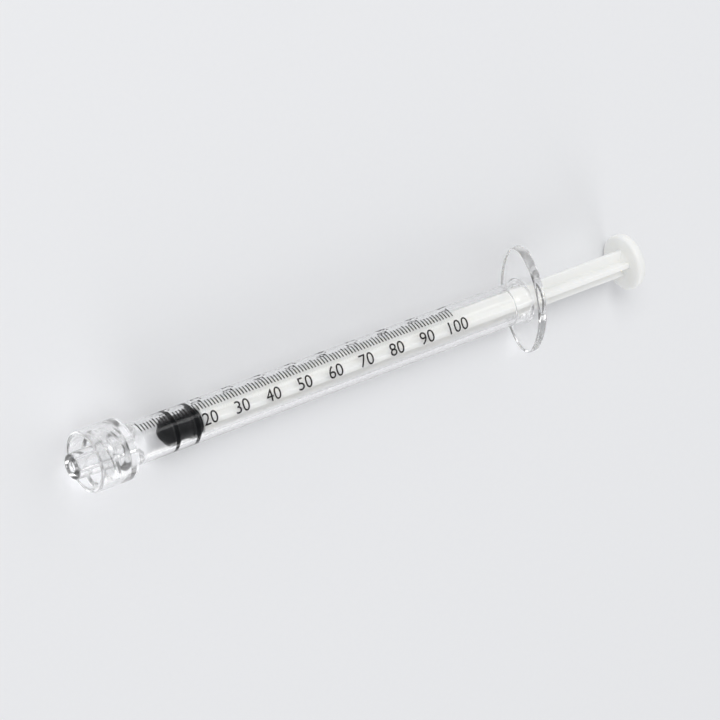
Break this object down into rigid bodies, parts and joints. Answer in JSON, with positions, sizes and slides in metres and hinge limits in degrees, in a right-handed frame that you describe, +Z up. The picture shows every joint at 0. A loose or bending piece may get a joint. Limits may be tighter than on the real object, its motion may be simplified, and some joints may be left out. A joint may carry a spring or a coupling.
{
  "type": "luer lock syringe",
  "caption": "Slim clear luer lock syringe with a graduated tube, two-wing finger flange, black rubber piston and white cruciform plunger rod with a round thumb rest.",
  "frame": {"origin": "centre of the bounding box's base: on the surface, midway between the luer tip and the thumb rest", "axes": "+X along the syringe towards the thumb rest, +Y along the finger flange's wings, +Z up"},
  "size_m": [0.104, 0.017, 0.0094],
  "materials": {
    "clear_plastic": "clear injection-moulded polypropylene, polished tube, faint haze",
    "black_rubber": "black moulded rubber with a thin film of silicone oil",
    "white_plastic": "milky white injection-moulded polypropylene, soft sheen"
  },
  "bodies": {
    "barrel": {"barrel": "clear_plastic"},
    "piston": {"piston": "black_rubber"},
    "plunger": {"plunger_rod": "white_plastic"}
  },
  "joints": [
    {"name": "plunger_slide", "type": "slide", "parent": "barrel", "child": "piston", "axis": [1, 0, 0], "range_m": [-0.0051, 0.0582]},
    {"name": "plunger_turn", "type": "hinge", "parent": "piston", "child": "plunger", "pos_m": [-0.03375, 0, 0.0047], "axis": [1, 0, 0], "continuous": true}
  ]
}
